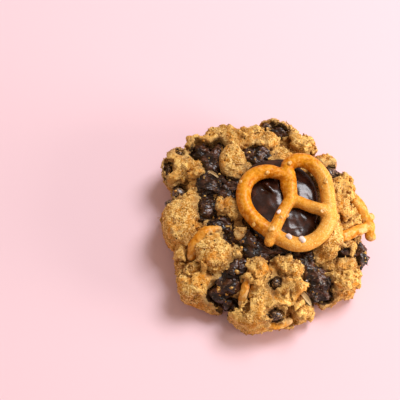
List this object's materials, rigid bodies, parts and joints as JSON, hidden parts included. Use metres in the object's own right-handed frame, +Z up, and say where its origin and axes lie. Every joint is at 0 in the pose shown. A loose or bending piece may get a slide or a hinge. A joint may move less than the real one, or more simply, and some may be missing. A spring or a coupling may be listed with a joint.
{
  "type": "cookie",
  "caption": "Round craggy drop cookie with melted chocolate, oat flakes and broken pretzel in its dough and a mini pretzel pressed into its top, lying on its flat baked base.",
  "frame": {"origin": "middle of the cookie's footprint, on the surface that its flat baked underside rests on", "axes": "+Z up, +X to the right and +Y away from the front edge; the pretzel's notch lies towards +Y"},
  "size_m": [0.0852, 0.09, 0.0307],
  "materials": {
    "dough": "matt baked oat dough, sandy crumb, golden tan with browner spots and edges",
    "chocolate_drop": "smooth glossy dark chocolate, melted and set in folds",
    "chocolate_chunk": "rough dark chocolate, melted in the oven, small glossy highlights",
    "chocolate_chip": "dark chocolate chip, half gloss",
    "pretzel": "glazed orange brown pretzel crust, satin gloss, fine blisters",
    "oat": "pale dry rolled oat, matt, fine lengthwise grain",
    "salt": "white translucent salt crystal, worn corners"
  },
  "bodies": {
    "root": {"cookie_dough": "dough", "chocolate_drop": "chocolate_drop", "top_pretzel": "pretzel", "salt_crystal_01": "salt", "salt_crystal_02": "salt", "salt_crystal_03": "salt", "salt_crystal_04": "salt", "salt_crystal_05": "salt", "salt_crystal_06": "salt", "salt_crystal_07": "salt", "salt_crystal_08": "salt", "salt_crystal_09": "salt", "salt_crystal_10": "salt", "salt_crystal_11": "salt", "salt_crystal_12": "salt", "pretzel_fragment_side": "pretzel", "pretzel_fragment_left": "pretzel", "pretzel_fragment_middle": "pretzel", "pretzel_fragment_front": "pretzel", "chocolate_chip_01": "chocolate_chip", "chocolate_chip_02": "chocolate_chip", "chocolate_chip_03": "chocolate_chip", "chocolate_chip_04": "chocolate_chip", "chocolate_chip_05": "chocolate_chip", "chocolate_chip_06": "chocolate_chip", "chocolate_chip_07": "chocolate_chip", "chocolate_chip_08": "chocolate_chip", "chocolate_chip_09": "chocolate_chip", "oat_flake_01": "oat", "oat_flake_02": "oat", "chocolate_chunk_01": "chocolate_chunk", "chocolate_chunk_02": "chocolate_chunk", "chocolate_chunk_03": "chocolate_chunk", "chocolate_chunk_04": "chocolate_chunk", "chocolate_chunk_05": "chocolate_chunk", "chocolate_chunk_06": "chocolate_chunk", "chocolate_chunk_07": "chocolate_chunk", "chocolate_chunk_08": "chocolate_chunk", "chocolate_chunk_09": "chocolate_chunk", "chocolate_chunk_10": "chocolate_chunk", "chocolate_chunk_11": "chocolate_chunk", "chocolate_chunk_12": "chocolate_chunk", "chocolate_chunk_13": "chocolate_chunk", "chocolate_chunk_14": "chocolate_chunk", "chocolate_chunk_15": "chocolate_chunk", "chocolate_chunk_16": "chocolate_chunk", "chocolate_chunk_17": "chocolate_chunk", "chocolate_chunk_18": "chocolate_chunk", "chocolate_chunk_19": "chocolate_chunk", "chocolate_chunk_20": "chocolate_chunk", "chocolate_chunk_21": "chocolate_chunk", "chocolate_chunk_22": "chocolate_chunk", "chocolate_chunk_23": "chocolate_chunk", "chocolate_chunk_24": "chocolate_chunk"}
  },
  "joints": []
}
